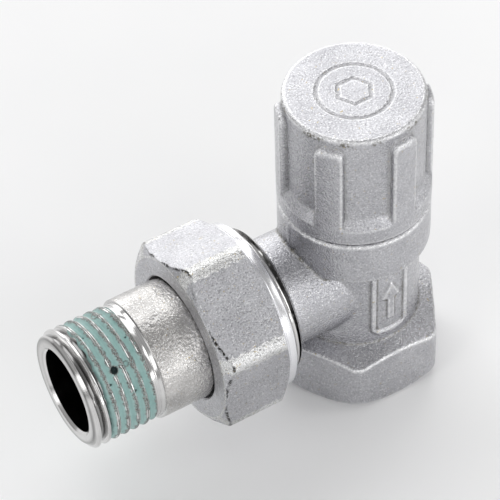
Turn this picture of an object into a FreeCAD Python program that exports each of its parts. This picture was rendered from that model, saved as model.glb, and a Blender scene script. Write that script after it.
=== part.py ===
import FreeCAD, Part
import math
import os

# Angle lockshield radiator valve, half inch. Millimetres, +Z up along the spindle.
# The origin is the centre of the inlet face. The union runs along -X.

# ---- Threads (standard sizes) ----
half_inch_thread = 20.955 / 2        # G 1/2 major radius, inlet and tail
union_thread = 26.441 / 2            # G 3/4 major radius, body boss and nut
union_pitch = 25.4 / 14              # pitch of both pipe threads
cap_pitch = 1.5
spindle_pitch = 1.0
thread_clearance = 0.05              # radial, between a male and a female thread
running_clearance = 0.05             # radial, between a shaft and its bore
ring_gap = 0.03                      # between a rubber ring and its groove or bore
face_gap = 0.02                      # between faces that meet in one assembly
seat_gap = 0.4                       # between turned shoulders that never meet
hex_corner = 1 / math.cos(math.radians(30))
edge_break = 0.5                     # chamfer on turned edges
groove_gap = 0.05                    # beside a ring in its groove
run_past = 1.0                       # how far a cutting shape passes the surface

# ---- Travels ----
nut_turns = 4.5
spindle_turns = 4
cap_turns = 4
memory_turns = 3.5
nut_travel = nut_turns * union_pitch
spindle_travel = spindle_turns * spindle_pitch
memory_travel = memory_turns * spindle_pitch

# ---- Spindle ----
spindle_radius = 5.0
spindle_thread_step = 0.5
spindle_tip_radius = 3.0
spindle_top_rise = 5.9               # spindle's top above the collar's top when closed
stop_washer_thickness = 0.5
key_flats = 5.0
key_depth = 4.2
ring_groove_depth = 1.25
ring_groove_width = 1.7
ring_spacing = 3.0                   # between the two ring grooves
spindle_thread = spindle_radius + spindle_thread_step

# ---- Memory screw and retaining ring ----
memory_step = 0.6                    # memory screw's radius over the spindle's
memory_length = 3.4
memory_hole_flats = 5.6
memory_ring_section = 0.84
memory_ring_rise = 1.6
memory_slot_width = 1.2
memory_slot_depth = 0.9
snap_ring_thickness = 0.8
snap_ring_width = 1.4
snap_ring_opening = 3.2
memory_radius = spindle_radius + memory_step
snap_ring_inner = memory_radius - snap_ring_width / 2
snap_ring_outer = memory_radius + snap_ring_width / 2

# ---- Headwork ----
headwork_nose_wall = 1.85
headwork_nose_drop = 11.9            # nose below the collar's top
headwork_thread_drop = 8.6
headwork_step_drop = 2.7             # spindle's stop below the collar's top
headwork_relief = 1.3
headwork_top_wall = 1.4
headwork_top_length = 2.6
headwork_top_lip = 1.3               # above the snap ring
headwork_hex_step = 0.3
cap_thread_step = 0.76               # cap thread over the hexagon's corners
cap_thread_length = 5.6
flange_step = 0.5
flange_rise = 2.4                    # flange's top above the collar's top
body_thread_step = 0.4               # body thread inside the cap thread
seal_section = 1.5
seal_width = 1.3
headwork_nose_radius = spindle_thread + thread_clearance + headwork_nose_wall
headwork_top_radius = snap_ring_outer + headwork_top_wall
headwork_flats = 2 * (headwork_top_radius + headwork_hex_step)
cap_thread = headwork_flats / 2 * hex_corner + cap_thread_step
flange_radius = cap_thread + flange_step
headwork_thread = cap_thread - body_thread_step
seal_recess_radius = headwork_thread + seal_width

# ---- Body: inlet hexagon, neck and seat ----
inlet_depth = 11.0
inlet_wall = 3.4725
inlet_corner_round = 3.0
inlet_foot_slope = 38.0              # degrees, rounding under the hexagon's corners
inlet_cone_slope = 25.0              # degrees, top of the hexagon
inlet_cone_rise = 1.6                # from the thread's end to the neck's foot
chamber_clearance = 1.2              # round the headwork's nose
neck_wall = 2.6
seat_plate = 3.4
seat_hole_radius = 5.5
seat_lip_width = 1.2
seat_lip_height = 1.4
inlet_flats = 2 * (half_inch_thread + thread_clearance + inlet_wall)
chamber_radius = headwork_nose_radius + chamber_clearance
neck_radius = chamber_radius + neck_wall
seat_lip_radius = seat_hole_radius + seat_lip_width

# ---- Body: branch and union boss ----
branch_bore_radius = 7.2
branch_wall = 2.53
branch_floor_gap = 1.5
branch_fillet = 1.0
shoulder_reach = 18.2
boss_length = 10.8
boss_edge = 0.8
socket_radius = 9.4
socket_depth = 3.6
branch_radius = branch_bore_radius + branch_wall

# ---- Body: collar, maker's plate and parting line ----
collar_wall = 2.06
collar_rise = 6.7                    # collar's underside above the union axis
collar_length = 8.9
collar_edge = 0.6
parting_width = 0.7
parting_height = 0.16
parting_margin = 1.2
plate_from = 252.0
plate_to = 288.0
plate_height = 0.55
plate_border = 0.8
plate_recess = 0.35
plate_foot = 2.1                     # plate's lower edge above the neck's foot
plate_chamfer = 1.1
arrow_half_width = 1.9
arrow_stem = 0.55
collar_radius = seal_recess_radius + collar_wall

# ---- Shutter ----
washer_overlap = 0.2                 # washer beyond the seat's lip
washer_thickness = 1.6
shutter_step = 0.4
shutter_disc = 2.4
shutter_hub_wall = 1.55
shutter_hub = 4.0
shutter_screw_radius = 1.5
shutter_screw_head = 2.9
shutter_screw_head_height = 1.2
shutter_screw_length = 3.6
retainer_radius = 4.6
retainer_thickness = 0.5
clip_section = 0.4
clip_rise = 1.9
clip_opening = 2.0
washer_radius = seat_lip_radius + washer_overlap
shutter_radius = washer_radius + shutter_step
shutter_hub_radius = spindle_tip_radius + running_clearance + shutter_hub_wall

# ---- Protective cap ----
cap_gap = 0.25                       # above the collar's top
cap_length = 23.0
cap_wall = 1.8
cap_overhang = 0.05                  # skirt beyond the collar
cap_skirt = 3.3
cap_skirt_slope = 2.2
cap_edge = 0.7
cap_top_wall = 2.4
cap_bore_clearance = 0.5             # over the headwork's corners
cap_flange_clearance = 0.15
rib_count = 6
rib_angle = 21.5
rib_phase = 37.7
rib_top_drop = 2.0
rib_shoulder = 1.1
rib_corner = 1.5                     # rounded upper corners, seen from the front
rib_edge = 0.35
cap_mark_depth = 0.22
cap_mark_ring = 6.6
cap_mark_width = 0.7
cap_mark_flats = 6.0
cap_seal_section = 0.9
cap_seal_rise = 1.15
cap_radius = cap_thread + thread_clearance + cap_wall
cap_skirt_radius = collar_radius + cap_overhang
cap_bore_radius = headwork_flats / 2 * hex_corner + cap_bore_clearance

# ---- Tailpiece ----
tail_bore_radius = 7.44
pipe_step = 0.27                     # pipe over the thread
flange_gap = 0.2
union_flange_step = 1.32             # flange inside the union thread
union_flange = 2.4
spigot_length = 3.3
spigot_wall = 0.96                   # behind the ring's groove
spigot_ring_section = 0.95
spigot_ring_rise = 1.2
tail_exposed = 8.7
tail_turned = 1.5
tail_turned_drop = 0.3               # turned band below the thread's crests
tail_thread_length = 11.6
tail_thread_chamfer = 0.9
tail_mouth_chamfer = 0.5
sealant_thickness = 0.12
sealant_margin = 3.0                 # bare first pitches at the tail's end
tail_radius = half_inch_thread + pipe_step
tail_turned_radius = half_inch_thread - tail_turned_drop
union_flange_radius = union_thread - union_flange_step
spigot_radius = socket_radius - running_clearance
spigot_bore_radius = spigot_radius - spigot_ring_section - spigot_wall

# ---- Union nut ----
nut_side_wall = 1.73
nut_wall = 3.0
nut_length = 14.1
nut_corner_phase = -7.0
nut_corner_round = 2.2
nut_front_step = 0.1                 # flat face inside the flats
nut_front_chamfer = 1.7
nut_ring_length = 1.7                # turned ring at the back of the hexagon
nut_back_chamfer = 1.2
nut_ring_edge = 0.3
nut_bore_clearance = 0.41
nut_flats = 2 * (union_thread + thread_clearance + nut_side_wall)
nut_bore_radius = tail_radius + nut_bore_clearance
nut_ring_radius = nut_flats / 2
nut_front_radius = nut_flats / 2 - nut_front_step

# ---- Heights and reaches that follow from the sizes above ----
neck_foot = inlet_depth + inlet_cone_rise
chamber_floor = inlet_depth + seat_plate
seat_top = chamber_floor + seat_lip_height
union_height = chamber_floor + branch_floor_gap + branch_bore_radius
collar_bottom = union_height + collar_rise
collar_top = collar_bottom + collar_length
nose_bottom = collar_top - headwork_nose_drop
headwork_thread_bottom = collar_top - headwork_thread_drop
seal_seat = collar_top - seal_section - face_gap
flange_top = collar_top + flange_rise
cap_thread_top = flange_top + cap_thread_length
spindle_step_height = collar_top - headwork_step_drop
gland_top = (spindle_step_height + ring_spacing + ring_groove_width + spindle_travel
             + 2 * seat_gap - groove_gap)
washer_bottom = seat_top + face_gap
shutter_bottom = washer_bottom + washer_thickness
hub_bottom = shutter_bottom + shutter_disc
hub_top = hub_bottom + shutter_hub
spindle_shoulder = spindle_step_height - spindle_travel - stop_washer_thickness - face_gap
spindle_thread_bottom = hub_top + seat_gap
spindle_top = collar_top + spindle_top_rise
memory_bottom = spindle_top + spindle_travel + seat_gap
memory_top = memory_bottom + memory_length
snap_ring_bottom = memory_top + seat_gap
headwork_top = snap_ring_bottom + snap_ring_thickness + headwork_top_lip
headwork_hex_top = headwork_top - headwork_top_length
cap_bottom = collar_top + cap_gap
cap_top = cap_bottom + cap_length
boss_end = shoulder_reach + boss_length
flange_start = boss_end + flange_gap
flange_end = flange_start + union_flange
nut_shoulder = flange_end + flange_gap / 2
nut_front = nut_shoulder + nut_wall
nut_back = nut_front - nut_length
turned_start = nut_front + tail_exposed
tail_thread_start = turned_start + tail_turned
tail_end = tail_thread_start + tail_thread_length
sealant_end = tail_end - sealant_margin
spigot_end = flange_start - spigot_length
clip_height = hub_bottom + clip_rise
cap_seal_height = cap_bottom + cap_seal_rise


# ---- Building helpers ----
def lathe(outline, angle=360.0):
    """Turn an outline of (radius, height) points about Z."""
    corners = [FreeCAD.Vector(r, 0, z) for r, z in outline]
    wire = Part.makePolygon(corners + [corners[0]])
    return Part.Face(wire).revolve(FreeCAD.Vector(), FreeCAD.Vector(0, 0, 1), angle)


def disc(radius, bottom, top):
    return Part.makeCylinder(radius, top - bottom, FreeCAD.Vector(0, 0, bottom))


def tube(outer, inner, bottom, top):
    return disc(outer, bottom, top).cut(disc(inner, bottom - run_past, top + run_past))


def ring_groove(surface, depth, middle, width):
    """What a groove of a given depth takes out of a shaft."""
    return tube(surface + run_past, surface - depth, middle - width / 2, middle + width / 2)


def round_ring(centre_radius, section, height):
    return Part.makeTorus(centre_radius, section / 2, FreeCAD.Vector(0, 0, height))


def hexagon(flats, bottom, top, turn=0.0):
    """Hexagonal prism with a corner at the angle turn."""
    reach = flats / 2 * hex_corner
    angles = [math.radians(turn + 60 * k) for k in range(6)]
    corners = [FreeCAD.Vector(reach * math.cos(a), reach * math.sin(a), bottom) for a in angles]
    wire = Part.makePolygon(corners + [corners[0]])
    return Part.Face(wire).extrude(FreeCAD.Vector(0, 0, top - bottom))


def slot_cutter(width, length, bottom, height, start=0.0):
    """Straight bar along X, centred on the spindle axis or beginning at start."""
    return Part.makeBox(length, width, height, FreeCAD.Vector(start, -width / 2, bottom))


def sector(outline, start, width):
    """Turn an outline through part of a circle, beginning at an angle."""
    piece = lathe(outline, width)
    piece.rotate(FreeCAD.Vector(), FreeCAD.Vector(0, 0, 1), start)
    return piece


def along_union(shape):
    """Lay a shape made along +Z onto the union axis, pointing out of the body."""
    laid = shape.copy()
    laid.rotate(FreeCAD.Vector(), FreeCAD.Vector(0, 1, 0), -90)
    laid.translate(FreeCAD.Vector(0, 0, union_height))
    return laid


def off_axis(p):
    return math.hypot(p.x, p.y)


def edges_where(shape, test):
    """Edges whose points all pass a test."""
    return [edge for edge in shape.Edges if all(test(p) for p in edge.discretize(5))]


def upright_edges(shape, reach):
    """Straight edges parallel to Z that stand further than reach from the axis."""
    found = []
    for edge in shape.Edges:
        first, last = edge.discretize(2)
        upright = abs(first.x - last.x) + abs(first.y - last.y) < 1e-6
        if upright and isinstance(edge.Curve, Part.Line) and off_axis(first) > reach:
            found.append(edge)
    return found


def rounded_hexagon(flats, bottom, top, corner_round, turn=0.0):
    prism = hexagon(flats, bottom, top, turn)
    return prism.makeFillet(corner_round, upright_edges(prism, 0))


# ---- Body ----
def inlet_block():
    """Inlet hexagon, trimmed by a rounding cone below and a flat cone above."""
    wide = inlet_flats / 2 * hex_corner + run_past
    foot = inlet_flats / 2 - edge_break
    outline = [
        (0, 0),
        (foot, 0),
        (wide, (wide - foot) * math.tan(math.radians(inlet_foot_slope))),
        (wide, neck_foot - (wide - neck_radius) * math.tan(math.radians(inlet_cone_slope))),
        (neck_radius, neck_foot),
        (0, neck_foot),
    ]
    return rounded_hexagon(inlet_flats, 0, neck_foot, inlet_corner_round).common(lathe(outline))


def necked_branch():
    """Neck and branch, joined with the forging radius."""
    neck = disc(neck_radius, run_past, collar_top)
    branch = along_union(disc(branch_radius, 0, shoulder_reach + run_past))
    shape = neck.fuse(branch).removeSplitter()

    def on_seam(p):
        off = math.hypot(p.y, p.z - union_height)
        return abs(off - branch_radius) < 0.02 and abs(off_axis(p) - neck_radius) < 0.02
    return shape.makeFillet(branch_fillet, edges_where(shape, on_seam))


def union_boss():
    return along_union(lathe([
        (0, shoulder_reach),
        (union_thread - boss_edge, shoulder_reach),
        (union_thread, shoulder_reach + boss_edge),
        (union_thread, boss_end - boss_edge),
        (union_thread - boss_edge, boss_end),
        (0, boss_end),
    ]))


def collar():
    """Collar under the cap, with the forging's parting line on both sides."""
    shape = disc(collar_radius, collar_bottom, collar_top)
    shape = shape.makeFillet(collar_edge, edges_where(shape, lambda p: off_axis(p) > collar_radius - 0.1))
    width = 2 * (collar_radius + parting_height)
    flash = slot_cutter(parting_width, width, collar_bottom + parting_margin,
                        collar_length - 2 * parting_margin, -width / 2)
    return shape.fuse(flash)


def maker_plate():
    """Raised framed plate on the neck, its field sunk inside a border."""
    foot = neck_foot + plate_foot
    outer = neck_radius + plate_height
    floor = outer - plate_recess
    side = math.degrees(plate_border / outer)
    block = sector([
        (chamber_radius + run_past, foot),
        (outer, foot),
        (outer, collar_bottom + run_past),
        (chamber_radius + run_past, collar_bottom + run_past),
    ], plate_from, plate_to - plate_from)
    field = sector([
        (floor, foot + plate_border),
        (outer + run_past, foot + plate_border),
        (outer + run_past, collar_bottom - plate_border),
        (floor, collar_bottom - plate_border),
    ], plate_from + side, plate_to - plate_from - 2 * side)
    for angle in (plate_from, plate_to):
        block = block.cut(plate_corner(outer, foot, angle))
    return block.cut(field).fuse(flow_arrow(floor))


def plate_corner(outer, foot, angle):
    """Square bar set on its edge, which bevels one lower corner of the plate."""
    side = 2 * plate_chamfer
    bar = Part.makeBox(side, 2 * side, side, FreeCAD.Vector(-side / 2, -side, -side / 2))
    bar.rotate(FreeCAD.Vector(), FreeCAD.Vector(0, 1, 0), 45)
    bar.rotate(FreeCAD.Vector(), FreeCAD.Vector(0, 0, 1), angle + 90)
    a = math.radians(angle)
    bar.translate(FreeCAD.Vector(outer * math.cos(a), outer * math.sin(a), foot - side / 5))
    return bar


def flow_arrow(floor):
    """Raised arrow on the plate's field, showing the way up the neck."""
    field = collar_bottom - neck_foot - plate_foot
    middle = neck_foot + plate_foot + field / 2
    length = field * 0.56
    neck = middle + length * 0.1
    outline = [
        (-arrow_stem, middle - length / 2),
        (arrow_stem, middle - length / 2),
        (arrow_stem, neck),
        (arrow_half_width, neck),
        (0, middle + length / 2),
        (-arrow_half_width, neck),
        (-arrow_stem, neck),
    ]
    corners = [FreeCAD.Vector(x, 0, z) for x, z in outline]
    face = Part.Face(Part.makePolygon(corners + [corners[0]]))
    bar = face.extrude(FreeCAD.Vector(0, -collar_radius, 0))
    bar.rotate(FreeCAD.Vector(), FreeCAD.Vector(0, 0, 1), (plate_from + plate_to) / 2 - 270)
    return bar.common(tube(floor + plate_recess, floor - plate_recess, neck_foot, collar_bottom))


def waterway():
    """Every hollow of the body, as one solid to cut away."""
    inlet = disc(half_inch_thread + thread_clearance, -run_past, inlet_depth)
    seat_hole = disc(seat_hole_radius, inlet_depth - run_past, seat_top + run_past)
    chamber = disc(chamber_radius, chamber_floor, headwork_thread_bottom)
    lip = tube(seat_lip_radius, seat_hole_radius, chamber_floor - run_past, seat_top)
    thread = disc(headwork_thread + thread_clearance, headwork_thread_bottom, collar_top + run_past)
    recess = disc(seal_recess_radius, seal_seat, collar_top + run_past)
    branch = along_union(disc(branch_bore_radius, 0, boss_end + run_past))
    branch = branch.cut(disc(chamber_radius, 0, seat_top))
    socket = along_union(disc(socket_radius, boss_end - socket_depth, boss_end + run_past))
    return inlet.fuse([seat_hole, chamber.cut(lip), thread, recess, branch, socket])


def valve_body():
    pieces = [inlet_block(), collar(), union_boss(), maker_plate()]
    return necked_branch().fuse(pieces).cut(waterway()).removeSplitter()


# ---- Headwork and its seals ----
def headwork_outside():
    relief = headwork_thread - edge_break
    turned = lathe([
        (0, nose_bottom),
        (headwork_nose_radius, nose_bottom),
        (headwork_nose_radius, headwork_thread_bottom + seat_gap),
        (relief, headwork_thread_bottom + seat_gap),
        (headwork_thread, headwork_thread_bottom + seat_gap + edge_break),
        (headwork_thread, seal_seat - headwork_relief),
        (relief, seal_seat - headwork_relief + edge_break),
        (relief, collar_top + groove_gap),
        (flange_radius, collar_top + groove_gap),
        (flange_radius, flange_top),
        (cap_thread - edge_break, flange_top),
        (cap_thread, flange_top + edge_break),
        (cap_thread, cap_thread_top - edge_break),
        (cap_thread - edge_break, cap_thread_top),
        (0, cap_thread_top),
    ])
    corner = headwork_flats / 2 * hex_corner
    spanner = hexagon(headwork_flats, cap_thread_top - edge_break, headwork_hex_top).common(lathe([
        (0, flange_top),
        (corner, flange_top),
        (corner, headwork_hex_top - edge_break),
        (corner - 2 * edge_break, headwork_hex_top),
        (0, headwork_hex_top),
    ]))
    top = lathe([
        (0, headwork_hex_top - edge_break),
        (headwork_top_radius, headwork_hex_top - edge_break),
        (headwork_top_radius, headwork_top - edge_break),
        (headwork_top_radius - edge_break, headwork_top),
        (0, headwork_top),
    ])
    return turned.fuse([spanner, top])


def headwork():
    ring_middle = snap_ring_bottom + snap_ring_thickness / 2
    groove = disc(snap_ring_outer + groove_gap, ring_middle - snap_ring_thickness / 2 - groove_gap,
                  ring_middle + snap_ring_thickness / 2 + groove_gap)
    hollow = disc(spindle_thread + thread_clearance, nose_bottom - run_past, spindle_step_height).fuse([
        disc(spindle_radius + running_clearance, spindle_step_height - run_past, gland_top),
        disc(memory_radius + thread_clearance, gland_top, headwork_top + run_past),
        groove,
    ])
    return headwork_outside().cut(hollow).removeSplitter()


def headwork_seal():
    return tube(seal_recess_radius - groove_gap, headwork_thread - edge_break + groove_gap,
                seal_seat + face_gap, collar_top)


def snap_ring():
    ring = tube(snap_ring_outer, snap_ring_inner, snap_ring_bottom,
                snap_ring_bottom + snap_ring_thickness)
    return ring.cut(slot_cutter(snap_ring_opening, 2 * snap_ring_outer,
                                snap_ring_bottom - run_past, snap_ring_thickness + 2 * run_past))


# ---- Spindle ----
def ring_groove_middles():
    """Both rings stay inside the headwork's smooth bore from closed to open."""
    lower = spindle_step_height + seat_gap + ring_groove_width / 2
    return [lower, lower + ring_spacing]


def spindle():
    tip = hub_bottom + edge_break
    shape = lathe([
        (0, tip),
        (spindle_tip_radius - edge_break, tip),
        (spindle_tip_radius, tip + edge_break),
        (spindle_tip_radius, spindle_thread_bottom),
        (spindle_thread - edge_break, spindle_thread_bottom),
        (spindle_thread, spindle_thread_bottom + edge_break),
        (spindle_thread, spindle_shoulder),
        (spindle_radius, spindle_shoulder),
        (spindle_radius, spindle_top - edge_break),
        (spindle_radius - edge_break, spindle_top),
        (0, spindle_top),
    ])
    for middle in ring_groove_middles():
        shape = shape.cut(ring_groove(spindle_radius, ring_groove_depth, middle, ring_groove_width))
    shape = shape.cut(ring_groove(spindle_tip_radius, clip_section, clip_height,
                                  2 * (clip_section + groove_gap)))
    return shape.cut(hexagon(key_flats, spindle_top - key_depth, spindle_top + run_past))


def stop_washer():
    return tube(spindle_thread - 2 * groove_gap, spindle_radius + ring_gap,
                spindle_shoulder + face_gap, spindle_shoulder + stop_washer_thickness)


def spindle_o_ring(index):
    section = ring_groove_depth + running_clearance - 2 * ring_gap
    centre = spindle_radius + running_clearance - ring_gap - section / 2
    return round_ring(centre, section, ring_groove_middles()[index])


# ---- Memory screw ----
def memory_screw():
    shape = lathe([
        (0, memory_bottom),
        (memory_radius - edge_break, memory_bottom),
        (memory_radius, memory_bottom + edge_break),
        (memory_radius, memory_top - edge_break),
        (memory_radius - edge_break, memory_top),
        (0, memory_top),
    ])
    hole = hexagon(memory_hole_flats, memory_bottom - run_past, memory_top + run_past)
    length = 2 * (memory_radius + run_past)
    slot = slot_cutter(memory_slot_width, length, memory_top - memory_slot_depth,
                       memory_slot_depth + run_past, -length / 2)
    groove = ring_groove(memory_radius, memory_ring_section, memory_bottom + memory_ring_rise,
                         memory_ring_section + 2 * groove_gap)
    return shape.cut(hole).cut(slot).cut(groove)


def memory_screw_o_ring():
    return round_ring(memory_radius - memory_ring_section / 2, memory_ring_section - 2 * ring_gap,
                      memory_bottom + memory_ring_rise)


# ---- Shutter ----
def shutter():
    shape = disc(shutter_radius, shutter_bottom, hub_bottom)
    shape = shape.fuse(disc(shutter_hub_radius, shutter_bottom, hub_top))
    socket = disc(spindle_tip_radius + running_clearance, hub_bottom + edge_break - groove_gap,
                  hub_top + run_past)
    screw_hole = disc(shutter_screw_radius + face_gap, shutter_bottom - run_past,
                      shutter_bottom + shutter_screw_length - washer_thickness)
    clip_seat = disc(spindle_tip_radius + clip_section + groove_gap,
                     clip_height - clip_section - groove_gap, clip_height + clip_section + groove_gap)
    return shape.cut(socket.fuse([screw_hole, clip_seat])).removeSplitter()


def shutter_washer():
    return tube(washer_radius, shutter_screw_radius + groove_gap, washer_bottom, shutter_bottom)


def washer_retainer():
    return tube(retainer_radius, shutter_screw_radius + groove_gap,
                washer_bottom - retainer_thickness, washer_bottom)


def shutter_screw():
    head_top = washer_bottom - retainer_thickness
    head_bottom = head_top - shutter_screw_head_height
    shape = disc(shutter_screw_head, head_bottom, head_top)
    shape = shape.fuse(disc(shutter_screw_radius, head_bottom, washer_bottom + shutter_screw_length - groove_gap))
    length = 2 * (shutter_screw_head + run_past)
    slot = slot_cutter(shutter_screw_head / 4, length, head_bottom - run_past,
                       run_past + shutter_screw_head_height / 2, -length / 2)
    return shape.cut(slot).removeSplitter()


def shutter_clip():
    ring = tube(spindle_tip_radius + clip_section, spindle_tip_radius - clip_section + groove_gap,
                clip_height - clip_section, clip_height + clip_section)
    return ring.cut(slot_cutter(clip_opening, spindle_tip_radius + run_past,
                                clip_height - run_past, 2 * run_past))


# ---- Protective cap ----
def rib_outline():
    """Section through a rib, its top rounded over in a quarter ellipse."""
    top = cap_top - rib_top_drop
    shoulder = cap_skirt_radius - cap_radius
    steps = 6
    outline = [(cap_radius - run_past, cap_bottom + run_past), (cap_skirt_radius, cap_bottom + run_past)]
    for k in range(steps + 1):
        a = math.radians(90 * k / steps)
        outline.append((cap_radius + shoulder * math.cos(a),
                        top - rib_shoulder * (1 - math.sin(a))))
    return outline + [(cap_radius - run_past, top)]


def rib(angle):
    """A rib with its two upper corners rounded."""
    width = 2 * cap_skirt_radius * math.sin(math.radians(rib_angle / 2))
    top = cap_top - rib_top_drop
    blank = Part.makeBox(cap_skirt_radius, width, top + rib_corner - cap_bottom,
                         FreeCAD.Vector(cap_radius / 2, -width / 2, cap_bottom - rib_corner))
    corners = edges_where(blank, lambda p: p.z > top - 0.01 and abs(p.y) > width / 2 - 0.01)
    blank = blank.makeFillet(rib_corner, corners)
    shape = lathe(rib_outline()).common(blank)
    shape.rotate(FreeCAD.Vector(), FreeCAD.Vector(0, 0, 1), angle)
    return shape


def cap_shell():
    skirt_top = cap_bottom + cap_skirt
    core = lathe([
        (0, cap_bottom),
        (cap_skirt_radius - edge_break, cap_bottom),
        (cap_skirt_radius, cap_bottom + edge_break),
        (cap_skirt_radius, skirt_top),
        (cap_radius, skirt_top + cap_skirt_slope),
        (cap_radius, cap_top),
        (0, cap_top),
    ])
    rim = edges_where(core, lambda p: p.z > cap_top - 0.01 and off_axis(p) > cap_radius - 0.1)
    core = core.makeFillet(cap_edge, rim)
    shape = core.fuse([rib(rib_phase + 360 / rib_count * k) for k in range(rib_count)]).removeSplitter()
    return shape.makeFillet(rib_edge, upright_edges(shape, cap_skirt_radius - 0.1))


def cap_mark():
    """Key symbol sunk in the top: a hexagon inside a ring."""
    floor = cap_top - cap_mark_depth
    ring = tube(cap_mark_ring, cap_mark_ring - cap_mark_width, floor, cap_top + run_past)
    inner = hexagon(cap_mark_flats - 2 * cap_mark_width, floor - run_past, cap_top + 2 * run_past)
    return ring.fuse(hexagon(cap_mark_flats, floor, cap_top + run_past).cut(inner))


def protective_cap():
    pocket_radius = flange_radius + cap_flange_clearance
    pocket = disc(pocket_radius, cap_bottom - run_past, flange_top + edge_break)
    thread = disc(cap_thread + thread_clearance, cap_bottom, cap_thread_top + edge_break)
    hollow = disc(cap_bore_radius, cap_bottom, cap_top - cap_top_wall)
    half = cap_seal_section / 2 + groove_gap
    seal_groove = disc(pocket_radius + cap_seal_section, cap_seal_height - half, cap_seal_height + half)
    return cap_shell().cut(pocket.fuse([thread, hollow, seal_groove])).cut(cap_mark())


def cap_seal():
    centre = flange_radius + cap_flange_clearance - groove_gap + cap_seal_section / 2
    return round_ring(centre, cap_seal_section, cap_seal_height)


# ---- Union ----
def union_nut():
    hex_back = nut_back + nut_ring_length
    corner = nut_flats / 2 * hex_corner
    block = rounded_hexagon(nut_flats, nut_back, nut_front, nut_corner_round, nut_corner_phase)
    block = block.common(lathe([
        (0, hex_back),
        (nut_ring_radius, hex_back),
        (corner, hex_back + nut_back_chamfer),
        (corner, nut_front - nut_front_chamfer),
        (nut_front_radius, nut_front),
        (0, nut_front),
    ]))
    ring = lathe([
        (0, nut_back),
        (nut_ring_radius - nut_ring_edge, nut_back),
        (nut_ring_radius, nut_back + nut_ring_edge),
        (nut_ring_radius, hex_back + edge_break),
        (0, hex_back + edge_break),
    ])
    hollow = disc(union_thread + thread_clearance, nut_back - run_past, nut_shoulder).fuse(
        disc(nut_bore_radius, nut_shoulder - run_past, nut_front + run_past))
    return along_union(block.fuse(ring).cut(hollow))


def tailpiece():
    bare_thread = half_inch_thread - sealant_thickness
    shape = lathe([
        (tail_bore_radius, flange_end),
        (spigot_bore_radius, flange_start),
        (spigot_bore_radius, spigot_end),
        (spigot_radius - edge_break, spigot_end),
        (spigot_radius, spigot_end + edge_break),
        (spigot_radius, flange_start),
        (union_flange_radius, flange_start),
        (union_flange_radius, flange_end),
        (tail_radius, flange_end),
        (tail_radius, turned_start),
        (tail_turned_radius, turned_start),
        (tail_turned_radius, tail_thread_start),
        (bare_thread, tail_thread_start),
        (bare_thread, sealant_end),
        (half_inch_thread, sealant_end),
        (half_inch_thread, tail_end - tail_thread_chamfer),
        (half_inch_thread - tail_thread_chamfer, tail_end),
        (tail_bore_radius + tail_mouth_chamfer, tail_end),
        (tail_bore_radius, tail_end - tail_mouth_chamfer),
    ])
    groove = ring_groove(spigot_radius, spigot_ring_section, spigot_end + spigot_ring_rise,
                         spigot_ring_section + 2 * groove_gap)
    return along_union(shape.cut(groove))


def thread_sealant():
    return along_union(tube(half_inch_thread, half_inch_thread - sealant_thickness,
                            tail_thread_start, sealant_end))


def tail_o_ring():
    section = spigot_ring_section + running_clearance - 2 * ring_gap
    centre = socket_radius - ring_gap - section / 2
    return along_union(round_ring(centre, section, spigot_end + spigot_ring_rise))


pieces = {
    "valve_body": valve_body(),
    "headwork": headwork(),
    "headwork_seal": headwork_seal(),
    "snap_ring": snap_ring(),
    "spindle": spindle(),
    "stop_washer": stop_washer(),
    "spindle_o_ring_lower": spindle_o_ring(0),
    "spindle_o_ring_upper": spindle_o_ring(1),
    "memory_screw": memory_screw(),
    "memory_screw_o_ring": memory_screw_o_ring(),
    "shutter": shutter(),
    "shutter_washer": shutter_washer(),
    "washer_retainer": washer_retainer(),
    "shutter_screw": shutter_screw(),
    "shutter_clip": shutter_clip(),
    "protective_cap": protective_cap(),
    "cap_seal": cap_seal(),
    "union_nut": union_nut(),
    "tailpiece": tailpiece(),
    "thread_sealant": thread_sealant(),
    "tail_o_ring": tail_o_ring(),
}

os.makedirs("parts", exist_ok=True)
for name, shape in pieces.items():
    print(name, shape.isValid(), len(shape.Solids), round(shape.Volume, 1))
    shape.exportStep("parts/" + name + ".step")
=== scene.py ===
import math
import bmesh
import bpy
import numpy as np
from mathutils import Matrix, Vector, noise


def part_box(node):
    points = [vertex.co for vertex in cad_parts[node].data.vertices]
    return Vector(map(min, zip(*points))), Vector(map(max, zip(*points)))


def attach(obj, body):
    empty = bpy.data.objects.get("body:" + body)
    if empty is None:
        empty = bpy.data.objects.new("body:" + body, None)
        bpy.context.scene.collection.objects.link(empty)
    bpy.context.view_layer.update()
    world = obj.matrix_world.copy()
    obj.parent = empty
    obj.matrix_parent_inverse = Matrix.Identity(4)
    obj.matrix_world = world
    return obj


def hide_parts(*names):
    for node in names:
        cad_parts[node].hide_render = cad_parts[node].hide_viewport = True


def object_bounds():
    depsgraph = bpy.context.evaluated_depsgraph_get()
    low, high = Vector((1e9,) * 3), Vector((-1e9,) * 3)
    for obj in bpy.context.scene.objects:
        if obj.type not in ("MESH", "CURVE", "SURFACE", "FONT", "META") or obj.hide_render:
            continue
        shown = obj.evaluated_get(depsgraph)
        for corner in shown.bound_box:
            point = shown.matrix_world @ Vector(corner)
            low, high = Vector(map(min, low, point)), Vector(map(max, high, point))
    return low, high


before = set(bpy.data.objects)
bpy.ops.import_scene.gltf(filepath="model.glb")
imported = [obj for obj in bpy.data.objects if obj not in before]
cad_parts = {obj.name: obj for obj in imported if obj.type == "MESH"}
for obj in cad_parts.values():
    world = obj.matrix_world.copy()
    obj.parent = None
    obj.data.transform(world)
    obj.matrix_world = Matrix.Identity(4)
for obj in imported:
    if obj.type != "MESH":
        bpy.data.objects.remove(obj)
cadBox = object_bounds()
mm = 0.001
print("frame loaded,", len(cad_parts), "nodes")


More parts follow.
